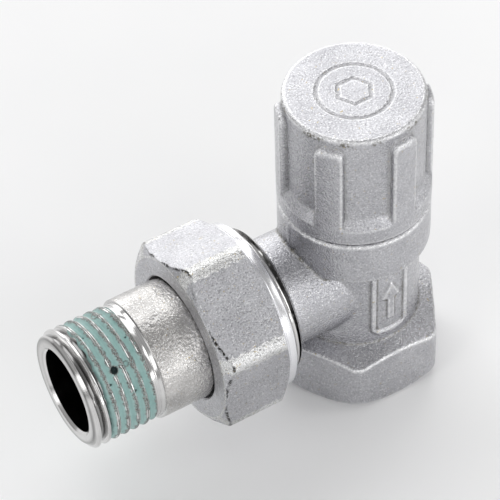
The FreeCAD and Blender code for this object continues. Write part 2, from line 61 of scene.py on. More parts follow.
# Lengths in the dictionaries below are millimetres.
slack = 0.05      # how far a filling or a test reaches past a surface
overrun = 1.0     # how far a cutter passes it
weld = 1e-7       # metres; points closer than this become one
unionHeight = sum(corner.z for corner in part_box("union_nut")) / 2 / mm
unionTurn = Matrix((    # lays a turned solid's axis along -X at the union's height
    (0, 0, -1, 0),
    (0, 1, 0, 0),
    (1, 0, 0, unionHeight * mm),
    (0, 0, 0, 1),
))
pipeThread = {"pitch": 25.4 / 14, "depth": 1.16}
capThread = {"pitch": 1.5, "depth": 0.8}


def reach(node, axis):
    low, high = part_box(node)
    return low[axis] / mm, high[axis] / mm


def softMin(a, b, blend):
    h = np.clip(0.5 + 0.5 * (b - a) / blend, 0, 1)
    return b * (1 - h) + a * h - blend * h * (1 - h)


def ease(low, high, value):
    t = np.clip((value - low) / (high - low), 0, 1)
    return t * t * (3 - 2 * t)


def lumps(points, size, seed=0.0):
    shift = Vector((seed, 2.3 * seed, -1.7 * seed))
    return np.array([noise.noise(Vector(p) / size + shift) for p in points])


def threadHeights(theta, start, end, pitch, samples):
    turns = math.ceil((end - start) / pitch) + 1
    climb = start - pitch + pitch * (np.arange(turns * samples + 1) / samples + theta / (2 * math.pi))
    return np.clip(climb, start, end)


def threadWave(theta, heights, pitch, flat=1.3):
    phase = heights / pitch - theta / (2 * math.pi)
    return np.clip(0.5 + 0.5 * flat * np.cos(2 * math.pi * phase), 0, 1)  # 1 on the crest, 0 in the root


def columnMesh(name, columns, loopAt, climbing=None, place=None):
    # loopAt(theta) gives one closed section as (height, radius); rows in climbing follow the helix
    loops = np.array([loopAt(2 * math.pi * i / columns) for i in range(columns)])
    count = loops.shape[1]
    theta = 2 * math.pi * np.arange(columns)[:, None] / columns
    x, y = loops[:, :, 1] * np.cos(theta), loops[:, :, 1] * np.sin(theta)
    points = np.stack((x, y, loops[:, :, 0]), axis=2).reshape(-1, 3) * mm
    rows = np.arange(count)
    joined = rows.copy()
    if climbing:
        first, last, samples = climbing
        inThread = (rows >= first) & (rows <= last)
        joined[inThread] = np.minimum(rows[inThread] + samples, last)
    faces = []
    for i in range(columns):
        here = i * count
        there = ((i + 1) % columns) * count
        other = joined if i == columns - 1 else rows
        nextRow = np.roll(rows, -1)
        quads = np.stack((here + rows, here + nextRow, there + other[nextRow], there + other), axis=1)
        faces.extend(quads.tolist())
    mesh = bpy.data.meshes.new(name)
    mesh.from_pydata(points.tolist(), [], faces)
    bm = bmesh.new()
    bm.from_mesh(mesh)
    bmesh.ops.remove_doubles(bm, verts=bm.verts, dist=weld)
    bmesh.ops.dissolve_degenerate(bm, edges=bm.edges, dist=weld)
    bmesh.ops.recalc_face_normals(bm, faces=bm.faces)
    bm.to_mesh(mesh)
    bm.free()
    if place:
        mesh.transform(place)
    return linked(name, mesh)


def linked(name, mesh):
    thing = bpy.data.objects.new(name, mesh)
    bpy.context.scene.collection.objects.link(thing)
    return thing


def turnedSolid(name, outline, place=None, columns=180):
    loop = np.array(outline, dtype=float)
    return columnMesh(name, columns, lambda theta: loop, place=place)


def threadSleeve(name, start, end, major, far, thread, place=None, columns=300, samples=12, clear=0.0):
    # a ring between the far radius and a threaded wall: a cutter outside a shaft, or ridges inside a bore
    def loopAt(theta):
        heights = threadHeights(theta, start, end, thread["pitch"], samples)
        wall = major - thread["depth"] * (1 - threadWave(theta, heights, thread["pitch"])) - clear
        return np.concatenate((np.stack((heights, wall), axis=1), [(end, far), (start, far)]))
    last = len(threadHeights(0, start, end, thread["pitch"], samples)) - 1
    return columnMesh(name, columns, loopAt, climbing=(0, last, samples), place=place)


def copied(node, name):
    bm = bmesh.new()
    bm.from_mesh(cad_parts[node].data)
    bmesh.ops.remove_doubles(bm, verts=bm.verts, dist=weld)
    mesh = bpy.data.meshes.new(name)
    bm.to_mesh(mesh)
    bm.free()
    mesh.materials.clear()
    return linked(name, mesh)


def bakeModifiers(thing):
    depsgraph = bpy.context.evaluated_depsgraph_get()
    mesh = bpy.data.meshes.new_from_object(thing.evaluated_get(depsgraph))
    thing.modifiers.clear()
    old, thing.data = thing.data, mesh
    mesh.name = thing.name
    bpy.data.meshes.remove(old)


def combine(thing, tool, operation):
    step = thing.modifiers.new("cut", "BOOLEAN")
    step.object, step.operation, step.solver = tool, operation, "MANIFOLD"
    bakeModifiers(thing)
    bpy.data.objects.remove(tool)


def castSkin(thing, voxel, smoothing):
    step = thing.modifiers.new("skin", "REMESH")
    step.mode, step.voxel_size = "VOXEL", voxel * mm
    step = thing.modifiers.new("soften", "SMOOTH")
    step.factor, step.iterations = 0.5, smoothing
    bakeModifiers(thing)


def roughen(thing, size, height, where=None, seed=0.0):
    mesh = thing.data
    normals = np.array([v.normal for v in mesh.vertices])
    points = np.array([v.co for v in mesh.vertices])
    push = lumps(points, size * mm, seed) * height * mm
    if where is not None:
        push *= where(points / mm)
    moved = np.clip(points + normals * push[:, None], cadBox[0], cadBox[1])
    mesh.vertices.foreach_set("co", moved.ravel())
    mesh.update()


def finish(thing, finishes, sharpAngle=38):
    # finishes: (material, test on a face centre in millimetres); the last that holds wins
    mesh = thing.data
    mesh.materials.clear()
    centres = np.array([p.center for p in mesh.polygons]) / mm
    chosen = np.zeros(len(centres), dtype=np.int32)
    for index, (material, test) in enumerate(finishes):
        mesh.materials.append(material)
        if test is not None:
            chosen[test(centres)] = index
    mesh.polygons.foreach_set("material_index", chosen)
    mesh.polygons.foreach_set("use_smooth", np.ones(len(centres), dtype=bool))
    mesh.set_sharp_from_angle(angle=math.radians(sharpAngle))
    mesh.update()


def pointValues(thing, name, values):
    attribute = thing.data.attributes.new(name, "FLOAT", "POINT")
    attribute.data.foreach_set("value", np.asarray(values, dtype=np.float32))


edges = {
    "spreads": 2,                 # times the bend is shared with the neighbours
    "contrast": 0.9,
    "grimeBend": (0.22, 0.50),    # inward bend, per millimetre, where dirt begins and is full
}


def edgeValues(thing):
    # edge is above 0.5 on outward edges and below it in hollows, grime is 1 in the sharpest hollows
    mesh = thing.data
    points = np.array([v.co for v in mesh.vertices])
    normals = np.array([v.normal for v in mesh.vertices])
    ends = np.zeros(2 * len(mesh.edges), dtype=np.int32)
    mesh.edges.foreach_get("vertices", ends)
    ends = ends.reshape(-1, 2)
    span = points[ends[:, 1]] - points[ends[:, 0]]
    length = np.maximum(np.linalg.norm(span, axis=1), 1e-9)
    total, count = np.zeros(len(points)), np.zeros(len(points))
    for here, sign in ((0, 1), (1, -1)):
        lean = sign * (span * normals[ends[:, here]]).sum(axis=1) / length ** 2
        total += np.bincount(ends[:, here], lean, len(points))
        count += np.bincount(ends[:, here], minlength=len(points))
    bend = -total / np.maximum(count, 1) * mm    # per millimetre
    for _ in range(edges["spreads"]):
        spread = np.bincount(ends[:, 0], bend[ends[:, 1]], len(points))
        spread = spread + np.bincount(ends[:, 1], bend[ends[:, 0]], len(points))
        bend = 0.5 * bend + 0.5 * spread / np.maximum(count, 1)
    pointValues(thing, "edge", np.clip(0.5 + edges["contrast"] * bend, 0, 1))
    pointValues(thing, "grimeAndShade", ease(*edges["grimeBend"], -bend))


def offUnion(p):
    return np.hypot(p[:, 1], p[:, 2] - unionHeight)


def offSpindle(p):
    return np.hypot(p[:, 0], p[:, 1])


def newMaterial(name):
    material = bpy.data.materials.new(name)
    material.use_nodes = True
    tree = material.node_tree
    return material, tree, tree.nodes["Principled BSDF"]


def add(tree, kind, **settings):
    made = tree.nodes.new("ShaderNode" + kind)
    for key, value in settings.items():
        if key in made.inputs.keys():
            made.inputs[key].default_value = value
        else:
            setattr(made, key, value)
    return made


def pattern(tree, size, detail=2.0, roughness=0.5, stretch=None):
    # noise whose features are about size millimetres across
    where = add(tree, "TexCoord").outputs["Object"]
    if stretch:
        mapping = add(tree, "Mapping")
        mapping.inputs["Scale"].default_value = stretch
        tree.links.new(where, mapping.inputs["Vector"])
        where = mapping.outputs["Vector"]
    made = add(tree, "TexNoise", Scale=1 / (size * mm), Detail=detail, Roughness=roughness)
    tree.links.new(where, made.inputs["Vector"])
    return made.outputs["Fac"]


def ramp(tree, source, stops):
    made = add(tree, "ValToRGB")
    while len(made.color_ramp.elements) < len(stops):
        made.color_ramp.elements.new(0.5)
    for element, (position, colour) in zip(made.color_ramp.elements, stops):
        element.position = position
        element.color = (*colour, 1) if isinstance(colour, tuple) else (colour, colour, colour, 1)
    tree.links.new(source, made.inputs["Fac"])
    return made.outputs["Color"]


def mixed(tree, factor, a, b, mode="MIX"):
    made = add(tree, "Mix", data_type="RGBA", blend_type=mode)
    for value, socket in ((factor, made.inputs[0]), (a, made.inputs[6]), (b, made.inputs[7])):
        if isinstance(value, bpy.types.NodeSocket):
            tree.links.new(value, socket)
        elif socket == made.inputs[0]:
            socket.default_value = value
        else:
            socket.default_value = (*value, 1)
    return made.outputs[2]


def calculated(tree, operation, a, b):
    made = add(tree, "Math", operation=operation)
    for value, socket in ((a, made.inputs[0]), (b, made.inputs[1])):
        if isinstance(value, bpy.types.NodeSocket):
            tree.links.new(value, socket)
        else:
            socket.default_value = value
    return made.outputs[0]


def bump(tree, height, depth, strength=1.0, under=None):
    made = add(tree, "Bump", Strength=strength, Distance=depth * mm)
    tree.links.new(height, made.inputs["Height"])
    if under is not None:
        tree.links.new(under, made.inputs["Normal"])
    return made.outputs["Normal"]


blastedChrome = {
    "pale": (0.54, 0.54, 0.565),
    "dark": (0.47, 0.47, 0.495),
    "cloud": 6.0,        # how far the tone drifts between the two
    "stain": (0.50, 0.42, 0.26),
    "stainSize": 0.55,
    "stainShare": 0.735,
    # glint is the colour of the painted glints and of the painted highlight on outward edges
    "glint": (0.86, 0.86, 0.87),
    "glintSize": 0.24,       # size of the painted glints, bright grains put in the colour
    "rub": 0.5,          # size of the breaks in a rubbed edge and its painted highlight
    "grain": 0.38,       # sand grain left in the casting
    "grainDepth": 0.15,
    "pitted": 0.76,
    "peel": 0.9,         # slower unevenness under it
    "peelDepth": 0.03,
    # painted shade: the grey that hollows are darkened towards
    "hollow": (0.30, 0.30, 0.30),
    "roughness": (0.19, 0.29),
    "grimeAndShade": (0.16, 0.15, 0.12),
    "grimeSize": 0.45,
    "grimeShare": 0.50,
}


def blastedFinish(name, look):
    material, tree, shader = newMaterial(name)
    fine = pattern(tree, look["grain"], detail=3, roughness=0.62)
    slow = pattern(tree, look["peel"], detail=3)
    cloud = pattern(tree, look["cloud"], detail=3)
    tone = ramp(tree, cloud, [(0.35, look["dark"]), (0.62, look["pale"])])
    pits = ramp(tree, fine, [(0.34, look["pitted"]), (0.45, 0.90), (0.51, 1.0)])
    colour = mixed(tree, 1.0, tone, pits, "MULTIPLY")
    # painted glints: bright specks in the colour where sand grains would catch the light
    paintedGlints = ramp(tree, pattern(tree, look["glintSize"], detail=1), [(0.58, 0.0), (0.66, 0.6)])
    colour = mixed(tree, paintedGlints, colour, look["glint"])
    edge = add(tree, "Attribute", attribute_name="edge").outputs["Fac"]
    # rubbed wear and painted highlight: outward edges are brightened towards the glint colour, with breaks
    rubbedAndHighlit = ramp(tree, edge, [(0.58, 0.0), (0.80, 0.8)])
    breaks = ramp(tree, pattern(tree, look["rub"]), [(0.35, 0.45), (0.6, 1.0)])
    colour = mixed(tree, calculated(tree, "MULTIPLY", rubbedAndHighlit, breaks), colour, look["glint"])
    # painted shade: hollows, where the edge value is low, are darkened towards a grey
    colour = mixed(tree, ramp(tree, edge, [(0.22, 0.55), (0.42, 0.0)]), colour, look["hollow"])
    share = look["grimeShare"]
    grimeAndShade = add(tree, "Attribute", attribute_name="grimeAndShade").outputs["Fac"]
    patches = pattern(tree, look["grimeSize"], detail=3)
    patches = ramp(tree, patches, [(share - 0.06, 0.0), (share + 0.04, 1.0)])
    colour = mixed(tree, calculated(tree, "MULTIPLY", grimeAndShade, patches), colour, look["grimeAndShade"])
    share = look["stainShare"]
    spots = ramp(tree, pattern(tree, look["stainSize"], detail=1), [(share, 0.0), (share + 0.03, 0.8)])
    tree.links.new(mixed(tree, spots, colour, look["stain"]), shader.inputs["Base Color"])
    low, high = look["roughness"]
    tree.links.new(ramp(tree, slow, [(0.3, low), (0.7, high)]), shader.inputs["Roughness"])
    shader.inputs["Metallic"].default_value = 1.0
    rolling = bump(tree, slow, look["peelDepth"])
    tree.links.new(bump(tree, fine, look["grainDepth"], under=rolling), shader.inputs["Normal"])
    return material


turnedNickel = {
    "pale": (0.78, 0.775, 0.77),
    "dark": (0.50, 0.495, 0.49),
    "line": 0.10,        # spacing of the lathe's lines
    "lineDepth": 0.004,
    "patch": 3.0,
    "rootShade": 0.22,   # what is left of the colour down in a thread's root
    "roughness": (0.13, 0.20),
}


def turnedFinish(name, look, axis):
    material, tree, shader = newMaterial(name)
    along = [0.001, 0.001, 0.001]    # the pattern is drawn out round the part and kept along its axis
    along[axis] = 1.0
    lines = pattern(tree, look["line"], detail=2, stretch=along)
    patches = pattern(tree, look["patch"], detail=2)
    colour = mixed(tree, 0.25, ramp(tree, lines, [(0.35, look["dark"]), (0.60, look["pale"])]),
                   ramp(tree, patches, [(0.35, look["dark"]), (0.6, look["pale"])]))
    grimeAndShade = add(tree, "Attribute", attribute_name="grimeAndShade").outputs["Fac"]
    # painted shade: thread roots and pits are darkened by this value
    shade = ramp(tree, grimeAndShade, [(0.0, 1.0), (1.0, look["rootShade"])])
    colour = mixed(tree, 1.0, colour, shade, "MULTIPLY")
    tree.links.new(colour, shader.inputs["Base Color"])
    low, high = look["roughness"]
    tree.links.new(ramp(tree, patches, [(0.3, low), (0.7, high)]), shader.inputs["Roughness"])
    shader.inputs["Metallic"].default_value = 1.0
    tree.links.new(bump(tree, lines, look["lineDepth"]), shader.inputs["Normal"])
    return material


rubberLook = {"dust": 0.8, "grain": 0.12, "grainDepth": 0.004}


def rubberFinish(name, look):
    material, tree, shader = newMaterial(name)
    dust = pattern(tree, look["dust"], detail=4)
    tree.links.new(ramp(tree, dust, [(0.35, 0.012), (0.75, 0.035)]), shader.inputs["Base Color"])
    tree.links.new(ramp(tree, dust, [(0.3, 0.42), (0.7, 0.6)]), shader.inputs["Roughness"])
    tree.links.new(bump(tree, pattern(tree, look["grain"]), look["grainDepth"]), shader.inputs["Normal"])
    return material


ptfeLook = {
    "pale": (0.86, 0.86, 0.84),
    "dark": (0.74, 0.74, 0.71),
    "haze": 1.2,
    "grain": 0.2,
    "grainDepth": 0.003,
    "glow": 0.1,
}


def ptfeFinish(name, look):
    material, tree, shader = newMaterial(name)
    haze = pattern(tree, look["haze"], detail=3)
    colour = ramp(tree, haze, [(0.3, look["dark"]), (0.7, look["pale"])])
    tree.links.new(colour, shader.inputs["Base Color"])
    tree.links.new(ramp(tree, haze, [(0.3, 0.36), (0.7, 0.5)]), shader.inputs["Roughness"])
    tree.links.new(bump(tree, pattern(tree, look["grain"]), look["grainDepth"]), shader.inputs["Normal"])
    shader.inputs["Subsurface Weight"].default_value = look["glow"]
    return material


sealantLook = {
    "pale": (0.36, 0.53, 0.51),
    "deep": (0.25, 0.42, 0.40),
    "dirtAndShade": (0.09, 0.09, 0.085),
    "metal": (0.40, 0.40, 0.385),
    # painted shade: near-black colour for the deepest pits
    "pit": (0.03, 0.05, 0.05),
    "cloud": 2.2,
    "speck": 0.28,
    "grit": 0.16,
    "gritDepth": 0.06,
    "cloudDepth": 0.05,
    "shine": 0.6,        # how metallic the bare crests are
}


def sealantFinish(name, look):
    # wear is 1 along the crests that have been rubbed, hollow is 1 down in the roots and 2 in the pits
    material, tree, shader = newMaterial(name)
    cloud = pattern(tree, look["cloud"], detail=3)
    speck = pattern(tree, look["speck"], detail=3, roughness=0.7)
    grit = pattern(tree, look["grit"], detail=2)
    colour = ramp(tree, cloud, [(0.3, look["deep"]), (0.5, look["pale"])])
    hollow = add(tree, "Attribute", attribute_name="hollow").outputs["Fac"]
    colour = mixed(tree, calculated(tree, "MULTIPLY", hollow, 0.6), colour, look["deep"])
    wear = add(tree, "Attribute", attribute_name="wear").outputs["Fac"]
    broken = calculated(tree, "MULTIPLY", wear, ramp(tree, speck, [(0.38, 0.2), (0.46, 1.0)]))
    rubbedAndHighlit = mixed(tree, ramp(tree, grit, [(0.44, 0.0), (0.58, 1.0)]), look["dirtAndShade"], look["metal"])
    colour = mixed(tree, broken, colour, rubbedAndHighlit)
    # painted shade: the deepest pits are coloured near-black
    paintedPitShade = ramp(tree, calculated(tree, "MULTIPLY", hollow, 0.5), [(0.55, 0.0), (0.8, 1.0)])
    tree.links.new(mixed(tree, paintedPitShade, colour, look["pit"]), shader.inputs["Base Color"])
    tree.links.new(ramp(tree, cloud, [(0.3, 0.34), (0.7, 0.52)]), shader.inputs["Roughness"])
    tree.links.new(calculated(tree, "MULTIPLY", broken, look["shine"]), shader.inputs["Metallic"])
    fine = bump(tree, calculated(tree, "MULTIPLY", grit, broken), look["gritDepth"])
    tree.links.new(bump(tree, cloud, look["cloudDepth"], under=fine), shader.inputs["Normal"])
    return material


nutChrome = dict(blastedChrome, grimeAndShade=(0.03, 0.028, 0.025), grimeShare=0.44)
bodyMetal = blastedFinish("cast_body_chrome", blastedChrome)
capMetal = blastedFinish("cast_cap_chrome", dict(blastedChrome, grain=0.36))
nutMetal = blastedFinish("forged_nut_chrome", dict(
    nutChrome, grainDepth=0.11, grain=0.30, pitted=0.55, roughness=(0.28, 0.38), stainShare=0.71))
nutCornerMetal = blastedFinish("nut_corner_chrome", dict(
    nutChrome, grainDepth=0.22, grain=0.40, pale=(0.80, 0.80, 0.80), dark=(0.58, 0.58, 0.57),
    pitted=0.5, stainShare=0.68))
pipeMetal = blastedFinish("cast_tail_nickel", dict(
    blastedChrome, pale=(0.64, 0.625, 0.61), dark=(0.48, 0.47, 0.46), grainDepth=0.09, grain=0.36,
    roughness=(0.18, 0.27), pitted=0.80))
turnedAlongX = turnedFinish("turned_nickel_union", turnedNickel, 0)
ringMetal = turnedFinish("turned_nut_ring", dict(
    turnedNickel, pale=(0.90, 0.90, 0.92), dark=(0.78, 0.78, 0.80), roughness=(0.22, 0.28), line=0.16), 0)
turnedAlongZ = turnedFinish("turned_nickel_upright", turnedNickel, 2)
# painted shade: the tailpiece's bore is coloured near-black
boreShadeMetal = turnedFinish("tail_bore_painted_shade", dict(
    turnedNickel, pale=(0.20, 0.19, 0.18), dark=(0.05, 0.05, 0.05)), 0)
brassUpright = turnedFinish("turned_brass", dict(
    turnedNickel, pale=(0.78, 0.60, 0.33), dark=(0.52, 0.38, 0.18)), 2)
springSteel = turnedFinish("spring_steel", dict(
    turnedNickel, pale=(0.60, 0.60, 0.60), dark=(0.34, 0.34, 0.34)), 2)
rubber = rubberFinish("black_rubber", rubberLook)
ptfe = ptfeFinish("white_ptfe", ptfeLook)
sealantMetal = sealantFinish("dried_sealant", sealantLook)
print("finishes made")


body = {
    "voxel": 0.26,
    "smoothing": 2,
    "castSize": 1.3,          # unevenness of the casting
    "castHeight": 0.030,
    "threadColumns": 200,
    "threadSamples": 8,
    "inletDepth": 11.0,
    "inletRadius": 10.5275,
    "bossStart": 18.2,
    "bossEnd": 29.0,
    "bossRadius": 13.2205,
    "bossEdge": 0.8,
    "bossRelief": 0.3,        # the turned part starts this far from the branch's shoulder
    "threadRelief": 0.6,      # and its thread this far
    "cutterWall": 2,
    "socketRadius": 9.4,
    "socketDepth": 3.6,
    "socketLead": 0.4,
    "socketFill": 0.2,        # the filling's step lies this much deeper
    "branchBore": 7.2,
    "boreLength": 16,
    "fillStart": 12.0,
    "turnedFrom": 0.25,
}


def buildBody():
    inlet, boss = body["inletRadius"], body["bossRadius"]
    start, end, edge = body["bossStart"], body["bossEnd"], body["bossEdge"]
    columns, samples = body["threadColumns"], body["threadSamples"]
    socket, bore, lead = body["socketRadius"], body["branchBore"], body["socketLead"]
    shell = copied("valve_body", "valve_body_casting")

    # the inlet and the socket are filled while the cast skin is made, then cut again
    fillTop = body["inletDepth"] + slack
    inletFill = [(0.0, 0.0), (0.0, inlet + slack), (fillTop, inlet + slack), (fillTop, 0.0)]
    combine(shell, turnedSolid("inlet_fill", inletFill), "UNION")
    socketEnd = end - body["socketDepth"]
    step = socketEnd - body["socketFill"]
    socketFill = [(body["fillStart"], 0.0), (body["fillStart"], bore + slack), (step, bore + slack),
                  (step, socket + slack), (end, socket + slack), (end, 0.0)]
    combine(shell, turnedSolid("socket_fill", socketFill, unionTurn), "UNION")
    castSkin(shell, body["voxel"], body["smoothing"])
    roughen(shell, body["castSize"], body["castHeight"])

    reliefEnd = start + body["bossRelief"]
    blank = [(reliefEnd, 0.0), (reliefEnd, boss - edge), (reliefEnd + edge, boss),
             (end - edge, boss), (end, boss - edge), (end, 0.0)]
    combine(shell, turnedSolid("boss_blank", blank, unionTurn), "UNION")
    cutter = threadSleeve("boss_cutter", start + body["threadRelief"], end + overrun / 2, boss,
                          boss + body["cutterWall"], pipeThread, unionTurn, columns, samples)
    combine(shell, cutter, "DIFFERENCE")
    boreStart = socketEnd - body["boreLength"]
    borer = [(boreStart, 0.0), (boreStart, bore), (socketEnd, bore), (socketEnd, socket),
             (end - lead, socket), (end, socket + lead), (end + overrun, socket + lead), (end + overrun, 0.0)]
    combine(shell, turnedSolid("socket_bore", borer, unionTurn), "DIFFERENCE")
    tap = threadSleeve("inlet_tap", -overrun, body["inletDepth"], inlet, 0.0, pipeThread,
                       None, columns, samples)
    combine(shell, tap, "DIFFERENCE")
    edgeValues(shell)

    def onBoss(p):
        return (-p[:, 0] > start + body["turnedFrom"]) & (offUnion(p) < boss + 2 * slack)

    def inInlet(p):
        below = p[:, 2] < body["inletDepth"] + 2 * slack
        return below & (offSpindle(p) < inlet + slack) & (p[:, 2] > slack)

    finish(shell, [(bodyMetal, None), (turnedAlongX, onBoss), (turnedAlongZ, inInlet)])
    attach(shell, "body")
    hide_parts("valve_body")


buildBody()
print("valve body built")


cap = {
    "voxel": 0.24,
    "smoothing": 3,
    "castSize": 1.0,
    "castHeight": 0.022,
    "skirtFill": (11.7, 5),        # radius and height of the filling in the skirt
    "innerFill": 10.4,
    "pocketRadius": 10.65,
    "pocketDepth": 2.4,
    "threadRadius": 10.05,
    "threadTop": 46.8,
    "ridgeGap": 0.2,               # plain length left at both ends of the thread
    "ridgeFoot": 0.4,              # how far the ridges reach into the wall
    "ridgeRise": 0.03,
    "boreRadius": 9.74,
    "boreTop": 59.55,
    "grimeStart": (0.25, 0.5),     # below the top: where the rim's dirt comes in and where it ends
    "grimeEnd": (0.9, 1.5),
    "grimeInside": 11,
    "grimePatch": 2.6,
}


def buildCap():
    low, high = reach("protective_cap", 2)
    pocket, thread, bore = cap["pocketRadius"], cap["threadRadius"], cap["boreRadius"]
    threadTop, boreTop = cap["threadTop"], cap["boreTop"]
    shell = copied("protective_cap", "cap_casting")
    skirt, skirtHeight = cap["skirtFill"]
    filling = [(low, 0.0), (low, skirt), (low + skirtHeight, skirt), (low + skirtHeight, cap["innerFill"]),
               (boreTop + slack, cap["innerFill"]), (boreTop + slack, 0.0)]
    combine(shell, turnedSolid("cap_fill", filling), "UNION")
    castSkin(shell, cap["voxel"], cap["smoothing"])
    roughen(shell, cap["castSize"], cap["castHeight"], seed=4.0)

    flangeTop = low + cap["pocketDepth"]
    borer = [(low - overrun, 0.0), (low - overrun, pocket), (flangeTop, pocket), (flangeTop, thread),
             (threadTop, thread), (threadTop, bore), (boreTop, bore), (boreTop, 0.0)]
    combine(shell, turnedSolid("cap_bore", borer), "DIFFERENCE")
    ridges = threadSleeve("cap_ridges", flangeTop + cap["ridgeGap"], threadTop - cap["ridgeGap"], thread,
                          thread + cap["ridgeFoot"], capThread, clear=-cap["ridgeRise"])
    combine(shell, ridges, "UNION")
    edgeValues(shell)

    points = np.array([v.co for v in shell.data.vertices]) / mm
    below = high - points[:, 2]
    rim = ease(cap["grimeEnd"][1], cap["grimeEnd"][0], below) * ease(*cap["grimeStart"], below)
    rim = rim * (offSpindle(points) > cap["grimeInside"])
    dirtAndShade = rim * ease(-0.35, 0.15, lumps(points, cap["grimePatch"], 6.0))
    shell.data.attributes["grimeAndShade"].data.foreach_set("value", dirtAndShade.astype(np.float32))

    def insideCap(p):
        return (offSpindle(p) < pocket + slack) & (p[:, 2] < boreTop + 2 * slack)

    finish(shell, [(capMetal, None), (turnedAlongZ, insideCap)])
    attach(shell, "cap")
    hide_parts("protective_cap")


buildCap()
print("cap built")


nut = {
    "columns": 480,
    "samples": 12,
    "flats": 30.0,
    "phase": -7.0,
    "cornerRound": 2.2,
    "cornerSize": 0.5,                         # forging marks on the corners
    "cornerHeight": 0.045,
    "cornerBand": 5.2,                         # degrees either side of a corner
    "cornerWobble": ((0.5, 3.1), (0.3, 7.7)),  # degrees and rate along the axis
    "castSize": 0.9,
    "castHeight": 0.018,
    "frontFace": 14.9,
    "frontChamfer": 1.7,
    "faceBand": 0.35,                          # width of the marked band round the front face
    "faceRows": (12.4, 13.6),
    "closeRows": (0.08, 0.16, 0.3, 0.6),       # either side of the lines where chamfer and flat meet
    "flatMargin": 0.7,
    "flatRows": 36,
    "ringLength": 1.7,
    "backChamfer": 1.2,
    "ringEdge": 0.3,
    "ringSoft": 0.04,
    "ringGroove": 0.14,
    "crackReach": 0.28,                        # half the width of the dark line at the front chamfer
    "threadRadius": 13.27,
    "threadLead": 0.4,
    "threadRunOut": 0.9,
    "threadRise": 0.02,
    "mouth": (0.35, 1.2),                      # step out and slope where the thread begins
    "boreRadius": 11.16,
    "boreEdge": 0.25,
    "wall": 3.0,
    "softEdge": 0.05,
}


def hexReach(theta):
    # distance out to the rounded hexagon in one direction
    half, rounded = nut["flats"] / 2, nut["cornerRound"]
    turn = (math.degrees(theta) - nut["phase"]) % 60
    fromCorner = math.radians(min(turn, 60 - turn))
    fromFlat = math.radians(30) - fromCorner
    plain = half / math.cos(fromFlat)
    centre = (half - rounded) / math.cos(math.radians(30))
    if (half - rounded) * math.tan(math.radians(30)) < half * math.tan(fromFlat):
        plain = centre * math.cos(fromCorner) + math.sqrt(rounded ** 2 - (centre * math.sin(fromCorner)) ** 2)
    return plain


def flatReach(p):
    return np.array([hexReach(angle) for angle in np.arctan2(p[:, 1], p[:, 2] - unionHeight)])


def cornerTurn(p):
    # degrees from the nearest corner of the hexagon
    turn = (np.degrees(np.arctan2(p[:, 1], p[:, 2] - unionHeight)) - nut["phase"]) % 60
    return np.minimum(turn, 60 - turn)


